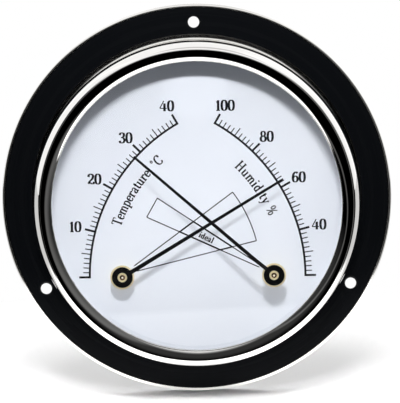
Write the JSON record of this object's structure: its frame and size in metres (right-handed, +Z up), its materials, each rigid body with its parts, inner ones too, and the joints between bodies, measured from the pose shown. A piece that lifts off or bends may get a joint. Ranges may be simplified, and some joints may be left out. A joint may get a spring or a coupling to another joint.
{
  "type": "dial thermo-hygrometer",
  "caption": "Round wall thermo-hygrometer with a polished drum case, a black screw flange and crossing pointers that show temperature and humidity on arc scales.",
  "frame": {"origin": "centre of the flat back, in the plane that lies on the wall", "axes": "+Z up the dial, +X to the right of someone reading it, +Y into the wall, so the dial faces -Y"},
  "size_m": [0.11, 0.0224, 0.11],
  "materials": {
    "polished_case": "mirror polish",
    "black_ring": "gloss black over fine turning marks",
    "glass": "clear",
    "gasket": "matte",
    "spacer": "satin",
    "dial": "satin white",
    "seat": "matte",
    "cover": "satin black",
    "screw_steel": "ground",
    "brass": "turned",
    "pointer": "satin black",
    "arbor_steel": "ground",
    "bracket_zinc": "zinc plated",
    "bimetal": "rolled",
    "moisture_strip": "coated strip"
  },
  "bodies": {
    "case": {"case_shell": "polished_case", "flange_ring": "black_ring", "bezel_ring": "polished_case", "glass_gasket": "gasket", "front_glass": "glass", "spacer_ring": "spacer", "dial_plate": "dial", "dial_seat_ring": "seat", "rear_cover": "cover", "cover_screw_1": "screw_steel", "cover_screw_2": "screw_steel", "cover_screw_3": "screw_steel", "humidity_bush": "brass", "humidity_bush_nut": "brass", "humidity_bracket": "bracket_zinc", "humidity_rear_bearing": "brass", "humidity_coil_stud": "brass", "temperature_bush": "brass", "temperature_bush_nut": "brass", "temperature_bracket": "bracket_zinc", "temperature_rear_bearing": "brass", "temperature_coil_stud": "brass"},
    "humidity_hand": {"humidity_arbor": "arbor_steel", "humidity_boss": "brass", "humidity_pointer": "pointer", "humidity_coil_hub": "brass", "humidity_coil": "moisture_strip"},
    "temperature_hand": {"temperature_arbor": "arbor_steel", "temperature_boss": "brass", "temperature_pointer": "pointer", "temperature_coil_hub": "brass", "temperature_coil": "bimetal"}
  },
  "joints": [
    {"name": "humidity_reading", "type": "hinge", "parent": "case", "child": "humidity_hand", "pos_m": [-0.02115, 0, -0.02042], "axis": [0, -1, 0], "range_deg": [-28.5, 27.7], "stiffness_Nm_per_rad": 0.002, "deforming": ["humidity_coil"]},
    {"name": "temperature_reading", "type": "hinge", "parent": "case", "child": "temperature_hand", "pos_m": [0.02115, 0, -0.02042], "axis": [0, 1, 0], "range_deg": [-42, 16.9], "stiffness_Nm_per_rad": 0.002, "deforming": ["temperature_coil"]}
  ]
}
